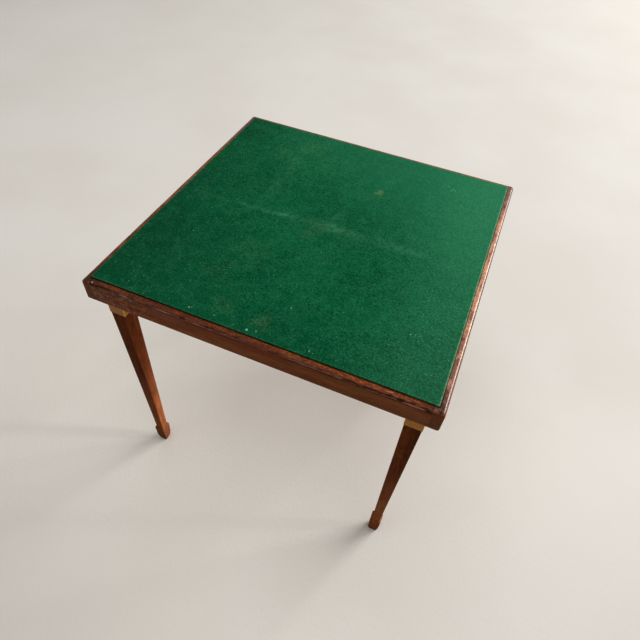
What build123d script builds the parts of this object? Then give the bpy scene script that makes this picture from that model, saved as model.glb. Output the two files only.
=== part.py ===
from build123d import *
import os

# Folding games table, millimetres, +Z up.
# The origin is on the floor under the middle of the top.
# +X runs to the right along the front edge and +Y away from the viewer.
#
# Each leg swings up sideways along the rail beside it, and its foot comes to rest just short of
# the next leg. So the four corners are alike: the front left one is drawn, and the other three
# are that corner turned about the middle of the table.

# %% Driving dimensions

# The square top
table_side = 762.0

# Rails of the frame
rail_thick = 22.0
arris_round = 4.0
corner_round = 5.0
under_round = 1.5
tongue_long = 9.0
tongue_thick = 8.0
glue_gap = 0.1

# Board and its cloth
strip_wide = 14.5
board_thick = 9.0
cloth_thick = 1.0
cloth_round = 1.8
panel_proud = 3.0
panel_clear = 0.2
turn_under = 6.5

# Batten across the underside of the board
batten_long = 560.0
batten_wide = 45.0
batten_thick = 12.0
batten_round = 3.0

# Glue blocks in the angle between board and rail
block_long = 60.0
block_wide = 10.0
block_high = 7.0
block_near = 80.0
block_far = 230.0

# Leg and spade foot
leg_wide = 37.0
leg_arris = 1.5
ankle_wide = 21.5
ankle_high = 70.0
shoulder_wide = 29.5
shoulder_high = 62.0
heel_wide = 27.0
heel_high = 20.0
sole_wide = 21.5

# Brass cap on the leg top
cap_thick = 1.0
cap_slack = 0.05
cap_round = 0.8
cap_reach = 77.0

# Corner bracket of folded sheet
sheet_thick = 1.2
side_gap = 0.5
bracket_edge = 1.55
outer_cheek_past = 34.0
inner_cheek_past = 13.0
cheek_round = 8.0
bend_round = 1.0

# Pivot pin and washers
pin_dia = 6.0
running_clear = 0.05
rivet_dia = 11.0
rivet_thick = 1.2
rivet_round = 0.8
socket_deep = 8.0
socket_clear = 0.1
washer_dia = 14.0
washer_thick = 0.4

# Room round a folded leg: above the rail's lower edge, below the ledge that carries the board,
# and before the next corner's bracket
fold_gap = 0.5
head_room = 3.4
lane_clear = 2.0

# Countersunk wood screws
screw_head_dia = 6.4
screw_head_high = 1.6
screw_shank_dia = 3.4
screw_point_long = 3.5
screw_clear = 0.05
slot_wide = 0.8
slot_deep = 0.5
bracket_screw_long = 14.0
web_screw_apart = 22.0
cheek_screw_apart = 20.0
cheek_screw_edge = 7.0
cap_screw_long = 10.0
cap_screw_apart = 18.0
cap_screw_drop = 26.0
batten_screw_long = 17.0
batten_screw_count = 3
batten_screw_apart = 230.0

overrun = 1.0

# %% Sizes that follow

half_side = table_side / 2
frame_inner = half_side - rail_thick
rail_middle = half_side - rail_thick / 2

# Across the leg top: wood, cap, washer gap, cheek, rail
cap_inner = leg_wide / 2 + cap_slack
cap_half = cap_inner + cap_thick
cheek_inner = cap_half + side_gap
cheek_outer = cheek_inner + sheet_thick
pivot_place = frame_inner - cheek_outer
bracket_high = 2 * (cap_half - bracket_edge)

# A leg folds along one rail, from its own pivot to just short of the next corner's bracket.
# That length is the height of the pivot above the floor, and so sets the table's height.
pivot_high = 2 * pivot_place - cheek_outer - lane_clear
cap_low = pivot_high - cap_reach

# Up through the frame: the folded leg, the ledge, the board with cloth below and above it
rail_low = pivot_high - cap_half - fold_gap
ledge_high = pivot_high + cap_half + head_room
board_low = ledge_high + cloth_thick
board_top = board_low + board_thick
panel_top = board_top + cloth_thick
frame_top = panel_top - panel_proud
rail_depth = frame_top - rail_low
batten_low = board_low - batten_thick
panel_side = table_side - 2 * strip_wide
board_side = panel_side - 2 * cloth_thick
pocket_side = panel_side + 2 * panel_clear

# %% The four corners

corner_count = 4
quarter_turn = 360 / corner_count

# The plane of the front left leg's swing, seen from the front
pivot_plane = Plane(
    origin=(-pivot_place, -pivot_place, pivot_high),
    x_dir=(1, 0, 0),
    z_dir=(0, -1, 0),
)


def turned(source, turns):
    """The same piece at a later corner, turned about the middle of the table."""
    with BuildPart() as copy:
        add(source.part, rotation=(0, 0, quarter_turn * turns))
    return copy


def all_corners(source):
    """The same pieces at all four corners, as one group."""
    with BuildPart() as group:
        with PolarLocations(0, corner_count):
            add(source.part)
    return group


# %% Screws, drawn pointing down with the top of the head at height zero


def wood_screw(long):
    """A countersunk screw with a straight slot."""
    head = screw_head_dia / 2
    shank = screw_shank_dia / 2
    with BuildPart() as screw:
        with BuildSketch(Plane.XZ):
            with BuildLine():
                Polyline(
                    (0, 0),
                    (head, 0),
                    (shank, -screw_head_high),
                    (shank, screw_point_long - long),
                    (0, -long),
                    close=True,
                )
            make_face()
        revolve(axis=Axis.Z)
        Box(
            screw_head_dia, slot_wide, slot_deep,
            align=(Align.CENTER, Align.CENTER, Align.MAX),
            mode=Mode.SUBTRACT,
        )
    return screw


def screw_hole(long):
    """The countersunk hole that takes the screw with a little room all round."""
    head = screw_head_dia / 2 + screw_clear
    shank = screw_shank_dia / 2 + screw_clear
    with BuildPart() as hole:
        with BuildSketch(Plane.XZ):
            with BuildLine():
                Polyline(
                    (0, 0),
                    (head, 0),
                    (shank, -screw_head_high),
                    (shank, -long - screw_clear),
                    (0, -long - screw_clear),
                    close=True,
                )
            make_face()
        revolve(axis=Axis.Z)
    return hole


def placed(shape, places):
    """One copy of a screw or hole at each place."""
    with BuildPart() as group:
        with Locations(*places):
            add(shape.part)
    return group


# %% Where the screws go

# Bracket screws: two through the web into the end rail, two through the outer cheek
web_face = -pivot_place - cheek_inner
cheek_screw_x = -pivot_place + outer_cheek_past - cheek_screw_edge
bracket_screw_places = []
for side in (-1, 1):
    bracket_screw_places.append(
        Plane(
            origin=(web_face, -pivot_place + side * web_screw_apart / 2, pivot_high),
            z_dir=(1, 0, 0),
        )
    )
    bracket_screw_places.append(
        Plane(
            origin=(cheek_screw_x, web_face, pivot_high + side * cheek_screw_apart / 2),
            z_dir=(0, 1, 0),
        )
    )

# Cap screws: two through each of the cap's faces that look along the rail
cap_screw_places = []
for face in (-1, 1):
    for side in (-1, 1):
        cap_screw_places.append(
            Plane(
                origin=(
                    -pivot_place + face * cap_half,
                    -pivot_place + side * cap_screw_apart / 2,
                    pivot_high - cap_screw_drop,
                ),
                z_dir=(face, 0, 0),
            )
        )

# Batten screws: one row up through the batten into the board
batten_screw_places = []
for number in range(batten_screw_count):
    along = (number - (batten_screw_count - 1) / 2) * batten_screw_apart
    batten_screw_places.append(Plane(origin=(along, 0, batten_low), z_dir=(0, 0, -1)))

corner_bracket_screws = placed(wood_screw(bracket_screw_long), bracket_screw_places)
corner_bracket_holes = placed(screw_hole(bracket_screw_long), bracket_screw_places)
bracket_screws = all_corners(corner_bracket_screws)
bracket_screw_holes = all_corners(corner_bracket_holes)
cap_screw_holes = placed(screw_hole(cap_screw_long), cap_screw_places)
batten_screws = placed(wood_screw(batten_screw_long), batten_screw_places)
batten_screw_holes = placed(screw_hole(batten_screw_long), batten_screw_places)

# %% Pivot pins, riveted over at the inner cheek, with the far end let into the rail

with BuildPart() as pivot_pin_front_left:
    with BuildSketch(pivot_plane.offset(-cheek_outer)):
        Circle(pin_dia / 2)
    extrude(amount=2 * cheek_outer + socket_deep)
    with BuildSketch(pivot_plane.offset(-cheek_outer)):
        Circle(rivet_dia / 2)
    extrude(amount=-rivet_thick)
    fillet(
        pivot_pin_front_left.edges().filter_by(GeomType.CIRCLE).sort_by(Axis.Y)[-1],
        radius=rivet_round,
    )

pivot_pin_front_right = turned(pivot_pin_front_left, 1)
pivot_pin_back_right = turned(pivot_pin_front_left, 2)
pivot_pin_back_left = turned(pivot_pin_front_left, 3)

with BuildPart() as corner_socket:
    with BuildSketch(pivot_plane.offset(cheek_outer)):
        Circle(pin_dia / 2 + running_clear)
    extrude(amount=socket_deep + socket_clear)
pin_sockets = all_corners(corner_socket)

# %% Pivot washers, one against each cheek

with BuildPart() as corner_washers:
    for side in (-1, 1):
        with BuildSketch(pivot_plane.offset(side * cheek_inner)):
            Circle(washer_dia / 2)
            Circle(pin_dia / 2 + running_clear, mode=Mode.SUBTRACT)
        extrude(amount=-side * washer_thick)
pivot_washers = all_corners(corner_washers)

# %% Rails

# The square pocket that the rebates of all four rails make together
with BuildPart() as panel_pocket:
    with Locations((0, 0, ledge_high)):
        Box(
            pocket_side, pocket_side, rail_depth,
            align=(Align.CENTER, Align.CENTER, Align.MIN),
        )

# Side rails run the whole depth of the table, grooved near each end for a cross rail's tongue
with BuildPart() as right_rail:
    with Locations((rail_middle, 0, rail_low)):
        Box(
            rail_thick, table_side, rail_depth,
            align=(Align.CENTER, Align.CENTER, Align.MIN),
        )
    fillet(
        right_rail.edges().filter_by(Axis.Z).group_by(Axis.X)[-1],
        radius=corner_round,
    )
    fillet(
        right_rail.faces().sort_by(Axis.Z)[-1].edges().sort_by(Axis.X)[1:],
        radius=arris_round,
    )
    fillet(
        right_rail.faces().sort_by(Axis.Z)[0].edges().sort_by(Axis.X)[1:],
        radius=under_round,
    )
    with Locations((frame_inner, 0, rail_low)):
        with GridLocations(0, 2 * rail_middle, 1, 2):
            Box(
                2 * (tongue_long + glue_gap), tongue_thick, 2 * (ledge_high - rail_low),
                mode=Mode.SUBTRACT,
            )
    add(panel_pocket.part, mode=Mode.SUBTRACT)
    add(bracket_screw_holes.part, mode=Mode.SUBTRACT)
    add(pin_sockets.part, mode=Mode.SUBTRACT)
left_rail = turned(right_rail, 2)

# Cross rails fit between the side rails, with a tongue at each end
with BuildPart() as front_rail:
    with Locations((0, -rail_middle, rail_low)):
        Box(
            2 * frame_inner, rail_thick, rail_depth,
            align=(Align.CENTER, Align.CENTER, Align.MIN),
        )
    fillet(
        front_rail.edges().filter_by(Axis.X).group_by(Axis.Y)[0].sort_by(Axis.Z)[-1],
        radius=arris_round,
    )
    fillet(
        front_rail.edges().filter_by(Axis.X).group_by(Axis.Y)[0].sort_by(Axis.Z)[0],
        radius=under_round,
    )
    with Locations((0, -rail_middle, rail_low)):
        Box(
            2 * (frame_inner + tongue_long), tongue_thick, ledge_high - rail_low,
            align=(Align.CENTER, Align.CENTER, Align.MIN),
        )
    add(panel_pocket.part, mode=Mode.SUBTRACT)
    add(bracket_screw_holes.part, mode=Mode.SUBTRACT)
    add(pin_sockets.part, mode=Mode.SUBTRACT)
back_rail = turned(front_rail, 2)

# %% Board, cloth, batten and glue blocks

with BuildPart() as top_board:
    with Locations((0, 0, board_low)):
        Box(
            board_side, board_side, board_thick,
            align=(Align.CENTER, Align.CENTER, Align.MIN),
        )
    add(batten_screw_holes.part, mode=Mode.SUBTRACT)

with BuildPart() as baize:
    with Locations((0, 0, ledge_high)):
        Box(
            panel_side, panel_side, panel_top - ledge_high,
            align=(Align.CENTER, Align.CENTER, Align.MIN),
        )
    fillet(baize.edges().filter_by(Axis.Z), radius=cloth_round)
    fillet(baize.faces().sort_by(Axis.Z)[-1].edges(), radius=cloth_round)
    with Locations((0, 0, board_low)):
        Box(
            board_side, board_side, board_thick,
            align=(Align.CENTER, Align.CENTER, Align.MIN),
            mode=Mode.SUBTRACT,
        )
    with Locations((0, 0, ledge_high)):
        Box(
            board_side - 2 * turn_under, board_side - 2 * turn_under, 2 * cloth_thick,
            mode=Mode.SUBTRACT,
        )

with BuildPart() as cross_batten:
    with Locations((0, 0, batten_low)):
        Box(
            batten_long, batten_wide, batten_thick,
            align=(Align.CENTER, Align.CENTER, Align.MIN),
        )
    chamfer(
        cross_batten.faces().sort_by(Axis.Z)[0].edges(),
        length=batten_round,
    )
    add(batten_screw_holes.part, mode=Mode.SUBTRACT)

# Two blocks a rail, over the thin half of the leg that folds there
with BuildPart() as front_glue_blocks:
    for along in (block_near, block_far):
        with Locations((along, -frame_inner, board_low)):
            Box(
                block_long, block_wide, block_high,
                align=(Align.CENTER, Align.MIN, Align.MAX),
            )
glue_blocks = all_corners(front_glue_blocks)

# %% Corner brackets: a web on the end rail and two cheeks that carry the pin

cheek_start = -frame_inner
outer_cheek_long = cheek_outer + outer_cheek_past
inner_cheek_long = cheek_outer + inner_cheek_past

with BuildPart() as corner_bracket_front_left:
    with BuildSketch(
        Plane(origin=(cheek_start, -pivot_place, pivot_high), x_dir=(0, 1, 0), z_dir=(1, 0, 0))
    ):
        Rectangle(2 * cheek_outer, bracket_high)
    extrude(amount=sheet_thick)
    for cheek_from, cheek_long in (
        (-pivot_place - cheek_outer, outer_cheek_long),
        (-pivot_place + cheek_inner, inner_cheek_long),
    ):
        with BuildSketch(
            Plane(origin=(cheek_start, cheek_from, pivot_high), x_dir=(1, 0, 0), z_dir=(0, 1, 0))
        ) as cheek:
            Rectangle(cheek_long, bracket_high, align=(Align.MIN, Align.CENTER))
            fillet(cheek.vertices().group_by(Axis.X)[-1], radius=cheek_round)
        extrude(amount=sheet_thick)
    fillet(
        corner_bracket_front_left.edges().filter_by(Axis.Z).group_by(Axis.X)[0].sort_by(Axis.Y)[-1],
        radius=bend_round,
    )
    with BuildSketch(pivot_plane):
        Circle(pin_dia / 2 + running_clear)
    extrude(amount=cheek_outer + overrun, both=True, mode=Mode.SUBTRACT)
    add(corner_bracket_holes.part, mode=Mode.SUBTRACT)

corner_bracket_front_right = turned(corner_bracket_front_left, 1)
corner_bracket_back_right = turned(corner_bracket_front_left, 2)
corner_bracket_back_left = turned(corner_bracket_front_left, 3)

# %% Legs: a round head about the pivot, a straight taper, and the spade foot

leg_sections = (
    (cap_low, leg_wide),
    (ankle_high, ankle_wide),
    (shoulder_high, shoulder_wide),
    (heel_high, heel_wide),
    (0, sole_wide),
)

with BuildPart() as leg_front_left:
    with BuildSketch(pivot_plane):
        Circle(leg_wide / 2)
        Rectangle(leg_wide, cap_reach, align=(Align.CENTER, Align.MAX))
    extrude(amount=leg_wide / 2, both=True)
    for high, wide in leg_sections:
        with BuildSketch(Plane.XY.offset(high)):
            with Locations((-pivot_place, -pivot_place)):
                RectangleRounded(wide, wide, leg_arris)
    loft(ruled=True)
    with BuildSketch(pivot_plane):
        Circle(pin_dia / 2 + running_clear)
    extrude(amount=cap_half + overrun, both=True, mode=Mode.SUBTRACT)
    add(cap_screw_holes.part, mode=Mode.SUBTRACT)

leg_front_right = turned(leg_front_left, 1)
leg_back_right = turned(leg_front_left, 2)
leg_back_left = turned(leg_front_left, 3)

# %% Brass caps: a closed head over the leg top, open below

with BuildPart() as leg_cap_front_left:
    with BuildSketch(pivot_plane):
        Circle(cap_half)
        Rectangle(2 * cap_half, cap_reach, align=(Align.CENTER, Align.MAX))
    extrude(amount=cap_half, both=True)
    fillet(
        leg_cap_front_left.edges().filter_by(GeomType.CIRCLE)
        + leg_cap_front_left.edges().filter_by(Axis.Z),
        radius=cap_round,
    )
    with BuildSketch(pivot_plane):
        Circle(cap_inner)
        Rectangle(2 * cap_inner, cap_reach + overrun, align=(Align.CENTER, Align.MAX))
    extrude(amount=cap_inner, both=True, mode=Mode.SUBTRACT)
    with BuildSketch(pivot_plane):
        Circle(pin_dia / 2 + running_clear)
    extrude(amount=cap_half + overrun, both=True, mode=Mode.SUBTRACT)
    add(cap_screw_holes.part, mode=Mode.SUBTRACT)

leg_cap_front_right = turned(leg_cap_front_left, 1)
leg_cap_back_right = turned(leg_cap_front_left, 2)
leg_cap_back_left = turned(leg_cap_front_left, 3)

cap_screws_front_left = placed(wood_screw(cap_screw_long), cap_screw_places)
cap_screws_front_right = turned(cap_screws_front_left, 1)
cap_screws_back_right = turned(cap_screws_front_left, 2)
cap_screws_back_left = turned(cap_screws_front_left, 3)

# %% Name each piece and write it

os.makedirs("parts", exist_ok=True)

front_rail.part.label = "front_rail"
export_step(front_rail.part, "parts/front_rail.step")
back_rail.part.label = "back_rail"
export_step(back_rail.part, "parts/back_rail.step")
left_rail.part.label = "left_rail"
export_step(left_rail.part, "parts/left_rail.step")
right_rail.part.label = "right_rail"
export_step(right_rail.part, "parts/right_rail.step")
top_board.part.label = "top_board"
export_step(top_board.part, "parts/top_board.step")
baize.part.label = "baize"
export_step(baize.part, "parts/baize.step")
cross_batten.part.label = "cross_batten"
export_step(cross_batten.part, "parts/cross_batten.step")
batten_screws.part.label = "batten_screws"
export_step(batten_screws.part, "parts/batten_screws.step")
glue_blocks.part.label = "glue_blocks"
export_step(glue_blocks.part, "parts/glue_blocks.step")
bracket_screws.part.label = "bracket_screws"
export_step(bracket_screws.part, "parts/bracket_screws.step")
pivot_washers.part.label = "pivot_washers"
export_step(pivot_washers.part, "parts/pivot_washers.step")

corner_bracket_front_left.part.label = "corner_bracket_front_left"
export_step(corner_bracket_front_left.part, "parts/corner_bracket_front_left.step")
corner_bracket_front_right.part.label = "corner_bracket_front_right"
export_step(corner_bracket_front_right.part, "parts/corner_bracket_front_right.step")
corner_bracket_back_right.part.label = "corner_bracket_back_right"
export_step(corner_bracket_back_right.part, "parts/corner_bracket_back_right.step")
corner_bracket_back_left.part.label = "corner_bracket_back_left"
export_step(corner_bracket_back_left.part, "parts/corner_bracket_back_left.step")

pivot_pin_front_left.part.label = "pivot_pin_front_left"
export_step(pivot_pin_front_left.part, "parts/pivot_pin_front_left.step")
pivot_pin_front_right.part.label = "pivot_pin_front_right"
export_step(pivot_pin_front_right.part, "parts/pivot_pin_front_right.step")
pivot_pin_back_right.part.label = "pivot_pin_back_right"
export_step(pivot_pin_back_right.part, "parts/pivot_pin_back_right.step")
pivot_pin_back_left.part.label = "pivot_pin_back_left"
export_step(pivot_pin_back_left.part, "parts/pivot_pin_back_left.step")

leg_front_left.part.label = "leg_front_left"
export_step(leg_front_left.part, "parts/leg_front_left.step")
leg_front_right.part.label = "leg_front_right"
export_step(leg_front_right.part, "parts/leg_front_right.step")
leg_back_right.part.label = "leg_back_right"
export_step(leg_back_right.part, "parts/leg_back_right.step")
leg_back_left.part.label = "leg_back_left"
export_step(leg_back_left.part, "parts/leg_back_left.step")

leg_cap_front_left.part.label = "leg_cap_front_left"
export_step(leg_cap_front_left.part, "parts/leg_cap_front_left.step")
leg_cap_front_right.part.label = "leg_cap_front_right"
export_step(leg_cap_front_right.part, "parts/leg_cap_front_right.step")
leg_cap_back_right.part.label = "leg_cap_back_right"
export_step(leg_cap_back_right.part, "parts/leg_cap_back_right.step")
leg_cap_back_left.part.label = "leg_cap_back_left"
export_step(leg_cap_back_left.part, "parts/leg_cap_back_left.step")

cap_screws_front_left.part.label = "cap_screws_front_left"
export_step(cap_screws_front_left.part, "parts/cap_screws_front_left.step")
cap_screws_front_right.part.label = "cap_screws_front_right"
export_step(cap_screws_front_right.part, "parts/cap_screws_front_right.step")
cap_screws_back_right.part.label = "cap_screws_back_right"
export_step(cap_screws_back_right.part, "parts/cap_screws_back_right.step")
cap_screws_back_left.part.label = "cap_screws_back_left"
export_step(cap_screws_back_left.part, "parts/cap_screws_back_left.step")

print("table height", round(panel_top, 2))
print("frame top", round(frame_top, 2), "pivot height", round(pivot_high, 2))
print("pivot place", round(pivot_place, 2))
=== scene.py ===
# %% [markdown]
# # An old folding games table
# A square card table about 30 inches (762 mm) across: a mahogany frame round a board that is
# covered in green baize, and four tapered legs on spade feet. The leg tops wear brass caps and turn
# on steel pins in corner brackets, so that each leg swings up under the top along one rail.
#
# The construction is already finished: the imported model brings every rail, leg, pin and screw to
# its place. What is left for Blender is what a maker's drawing leaves out, which is the cloth
# with its nap, crease and lint, the old varnish, the battered edges and the tarnished brass.

import math

import bpy
import numpy as np
from mathutils import Matrix, Vector


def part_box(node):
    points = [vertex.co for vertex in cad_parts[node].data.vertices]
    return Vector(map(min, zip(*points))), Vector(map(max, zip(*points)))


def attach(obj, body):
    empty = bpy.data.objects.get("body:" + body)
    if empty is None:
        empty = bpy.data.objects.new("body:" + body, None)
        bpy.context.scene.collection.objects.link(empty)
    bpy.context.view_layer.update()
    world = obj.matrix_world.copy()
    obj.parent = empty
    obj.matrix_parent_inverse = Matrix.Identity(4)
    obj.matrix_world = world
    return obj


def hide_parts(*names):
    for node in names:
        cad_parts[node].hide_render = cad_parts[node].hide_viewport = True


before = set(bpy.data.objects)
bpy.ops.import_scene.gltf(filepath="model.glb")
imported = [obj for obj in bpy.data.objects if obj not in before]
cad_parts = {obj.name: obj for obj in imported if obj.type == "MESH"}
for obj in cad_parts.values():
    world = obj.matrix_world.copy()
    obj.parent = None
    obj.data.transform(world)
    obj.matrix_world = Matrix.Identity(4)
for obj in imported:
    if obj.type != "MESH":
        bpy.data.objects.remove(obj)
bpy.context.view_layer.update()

# %% [markdown]
# ## The camera
# The photographer stood at the table's near right corner and looked down on it from about
# 1.45 m, with the camera tipped 5 degrees. A wide lens, about 29 mm on a full-size sensor, makes
# the near edge much longer than the far one. The straight edges of the square top fix all of
# this, so the place, the aim and the tilt are measured values and not tastes.
#
# A camera looks along its own -Z, with +Y up. Three directions make its turn: `back` from the
# aim to the camera, and `right` and `up` turned about it by the tilt.

# %% Camera from its place, its aim and its tilt
camera_place = Vector((0.3119, -0.9114, 1.4459))
camera_aim = Vector((0.1043, -0.3080, 0.6832))
camera_tilt = math.radians(5.1)
picture_side = 640
focal_pixels = 518.9
picture_middle = (314.4, 334.2)
sensor_wide = 36.0

back = (camera_place - camera_aim).normalized()
level_right = Vector((0, 0, 1)).cross(back).normalized()
right = Matrix.Rotation(camera_tilt, 3, back) @ level_right
up = back.cross(right)

camera_data = bpy.data.cameras.new("camera")
camera_data.sensor_width = sensor_wide
camera_data.lens = focal_pixels * sensor_wide / picture_side
camera_data.shift_x = (picture_side / 2 - picture_middle[0]) / picture_side
camera_data.shift_y = (picture_middle[1] - picture_side / 2) / picture_side


def add_object(name, data, matrix=None):
    """Puts a camera, a lamp or a mesh into the scene, in the place that the matrix gives."""
    made = bpy.data.objects.new(name, data)
    if matrix is not None:
        made.matrix_world = matrix
    bpy.context.scene.collection.objects.link(made)
    return made


camera_turn = Matrix((right, up, back)).transposed().to_4x4()
bpy.context.scene.camera = add_object(
    "camera", camera_data, Matrix.Translation(camera_place) @ camera_turn
)
print("lens in mm:", round(camera_data.lens, 2))

# %% [markdown]
# ## Mixing finishes
# A finish is a small graph of nodes, and long graphs are hard to read as code. `Finish` keeps the
# graph of one material and gives each common step a short name: every call adds one node and
# returns its output, so a finish reads as a recipe. All patterns use Object coordinates, which
# are metres on the real table, so a pattern is as large as it is on the wood or cloth itself and
# moves with its piece when a leg folds.

# %% A finish that is mixed step by step
class Finish:
    """The node graph of one material. Each method adds a node and returns its output."""

    def __init__(self, name):
        self.material = bpy.data.materials.new(name)
        self.material.use_nodes = True
        self.tree = self.material.node_tree
        self.surface = self.tree.nodes["Principled BSDF"]
        self.spot = self.node("ShaderNodeTexCoord").outputs["Object"]

    def node(self, kind, **settings):
        made = self.tree.nodes.new(kind)
        for name, value in settings.items():
            setattr(made, name, value)
        return made

    def put(self, socket, value):
        """A number or colour is set on the socket; another node's output is linked to it."""
        if isinstance(value, bpy.types.NodeSocket):
            self.tree.links.new(value, socket)
        else:
            socket.default_value = value

    def shade(self, **values):
        """Sets or links the surface shader's own sockets, such as Base_Color."""
        for name, value in values.items():
            self.put(self.surface.inputs[name.replace("_", " ")], value)

    def math(self, what, a, b=0.0, clamp=False):
        made = self.node("ShaderNodeMath", operation=what, use_clamp=clamp)
        for socket, value in zip(made.inputs, (a, b)):
            self.put(socket, value)
        return made.outputs[0]

    def times(self, first, *others):
        """The product of two or more values, multiplied one after another."""
        for other in others:
            first = self.math("MULTIPLY", first, other)
        return first

    def plus(self, first, *others):
        """The sum of two or more values."""
        for other in others:
            first = self.math("ADD", first, other)
        return first

    def less(self, first, second):
        """What is left of the first value when the second is taken away."""
        return self.math("SUBTRACT", first, second)

    def unsigned(self, value):
        """How far a value is from zero, on either side."""
        return self.math("ABSOLUTE", value)

    def axes(self, where=None):
        """The x, y and z of a place, by default of the point being coloured."""
        made = self.node("ShaderNodeSeparateXYZ")
        self.put(made.inputs[0], self.spot if where is None else where)
        return made.outputs

    def placed(self, stretch=(1, 1, 1), shift=(0, 0, 0), turn=(0, 0, 0)):
        """Coordinates for a pattern that is moved, turned, or squeezed along an axis."""
        made = self.node("ShaderNodeMapping")
        self.put(made.inputs["Vector"], self.spot)
        self.put(made.inputs["Location"], shift)
        self.put(made.inputs["Rotation"], turn)
        self.put(made.inputs["Scale"], stretch)
        return made.outputs[0]

    def read(self, name):
        """A value that the mesh carries at each of its points."""
        return self.node("ShaderNodeAttribute", attribute_name=name).outputs["Fac"]

    def noise(self, per_metre, where=None, detail=2.0, rough=0.5, bend=0.0):
        """Clouds from 0 to 1, mostly near 0.5, with about per_metre of them in a metre."""
        made = self.node("ShaderNodeTexNoise")
        self.put(made.inputs["Vector"], self.spot if where is None else where)
        for name, value in (
            ("Scale", per_metre), ("Detail", detail), ("Roughness", rough), ("Distortion", bend),
        ):
            self.put(made.inputs[name], value)
        return made.outputs[0]

    def cells(self, per_metre):
        """Distance to the nearest of many scattered points, in cells, and each cell's colour."""
        made = self.node("ShaderNodeTexVoronoi")
        self.put(made.inputs["Vector"], self.spot)
        self.put(made.inputs["Scale"], per_metre)
        self.put(made.inputs["Randomness"], 1.0)
        return made.outputs["Distance"], made.outputs["Color"]

    def fade(self, value, start, end, low=0.0, high=1.0):
        """Eases from low to high as value goes from start to end, and stays flat outside."""
        made = self.node("ShaderNodeMapRange", interpolation_type="SMOOTHSTEP")
        for socket, number in zip(made.inputs, (value, start, end, low, high)):
            self.put(socket, number)
        return made.outputs[0]

    def blend(self, share, first, second, how="MIX"):
        """Mixes two colours by a share from 0 to 1. On a Mix node the sockets 6 and 7 and the
        output 2 are the ones for colours.
        """
        made = self.node("ShaderNodeMix", data_type="RGBA", blend_type=how)
        for number, value in ((0, share), (6, first), (7, second)):
            self.put(made.inputs[number], value)
        return made.outputs[2]

    def coats(self, base, *coats):
        """Thin coats over a base, one after another: each is its share and its red, green, blue."""
        for share, *shown in coats:
            base = self.blend(share, base, paint(*shown))
        return base

    def spot_at(self, middle, radius, ragged=0.5):
        """A round mark: 1 in the middle, easing to 0 at its radius, its edge ragged by noise."""
        length = self.node("ShaderNodeVectorMath", operation="LENGTH")
        self.put(length.inputs[0], self.placed(shift=[-value for value in middle]))
        edge = self.fade(
            self.noise(1.5 / radius, detail=5.0), 0.2, 0.8, -ragged * radius, ragged * radius
        )
        return self.fade(self.plus(length.outputs["Value"], edge), radius, 0.0)

    def relief(self, height, depth, under=None, strength=1.0):
        """A bump from a height of 0 to 1 that stands for depth metres."""
        made = self.node("ShaderNodeBump")
        self.put(made.inputs["Strength"], strength)
        self.put(made.inputs["Distance"], depth)
        self.put(made.inputs["Height"], height)
        if under is not None:
            self.put(made.inputs["Normal"], under)
        return made.outputs[0]


def paint(red, green, blue):
    """A colour as a picture shows it, 0 to 255, turned into the light values that shaders use."""
    shown = np.array([red, green, blue]) / 255
    light = np.where(shown <= 0.04045, shown / 12.92, ((shown + 0.055) / 1.055) ** 2.4)
    return (*light.tolist(), 1.0)


print("mahogany red in light values:", [round(v, 3) for v in paint(110, 60, 38)])

# %% [markdown]
# ## Floor and light
# The table stands on a plain pale floor in soft light. The sun in the photograph comes low from
# behind on the right, so the large soft window lamp hangs there too: it leaves the front rail and
# the fronts of the legs darker than the tops, as in the picture. A small side lamp brightens the
# right rail, and weak lamps from the ceiling and the front keep the shadows open. The last lamp is
# a narrow low beam: it stands for the strip of sun that falls on the lower half of the left leg.
# The world adds even light from all round, and shows as white behind the object.

# %% Floor
floor_side = 14.0
floor_finish = Finish("pale_floor")
floor_cloud = floor_finish.noise(1.6, detail=4.0)
floor_grit = floor_finish.noise(120.0, detail=3.0)
floor_tone = floor_finish.blend(
    floor_finish.fade(floor_cloud, 0.3, 0.7), paint(224, 218, 209), paint(229, 224, 216)
)
floor_finish.shade(
    Base_Color=floor_tone,
    Roughness=0.85,
    Specular_IOR_Level=0.2,
    Normal=floor_finish.relief(floor_grit, 0.0003),
)

floor_data = bpy.data.meshes.new("floor")
half_floor = floor_side / 2
floor_data.from_pydata(
    [(x * half_floor, y * half_floor, 0) for x, y in ((-1, -1), (1, -1), (1, 1), (-1, 1))],
    [],
    [(0, 1, 2, 3)],
)
floor_data.materials.append(floor_finish.material)
floor = add_object("floor", floor_data)
print("floor", floor_side, "m square")

# %% World and lamps
world = bpy.data.worlds.new("soft_room")
bpy.context.scene.world = world
world.use_nodes = True
sky_tree = world.node_tree
room = sky_tree.nodes["Background"]
room.inputs["Color"].default_value = (1.0, 1.0, 1.0, 1.0)
room_light = 0.33
seen = sky_tree.nodes.new("ShaderNodeLightPath")
white_for = ("Is Camera Ray", "Is Glossy Ray", "Is Transmission Ray")
share = seen.outputs[white_for[0]]
for name in white_for[1:]:
    more = sky_tree.nodes.new("ShaderNodeMath")
    more.operation = "MAXIMUM"
    sky_tree.links.new(share, more.inputs[0])
    sky_tree.links.new(seen.outputs[name], more.inputs[1])
    share = more.outputs[0]
level = sky_tree.nodes.new("ShaderNodeMapRange")
level.inputs["To Min"].default_value = room_light
level.inputs["To Max"].default_value = 1.0
sky_tree.links.new(share, level.inputs["Value"])
sky_tree.links.new(level.outputs[0], room.inputs["Strength"])

lamps_aim = Vector((0, 0, 0.5))


def turned_to(place, aim):
    """The matrix that puts a lamp at a place and points its -Z at the aim."""
    away = Vector(place) - aim
    return Matrix.Translation(Vector(place)) @ away.to_track_quat("Z", "Y").to_matrix().to_4x4()


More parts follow.
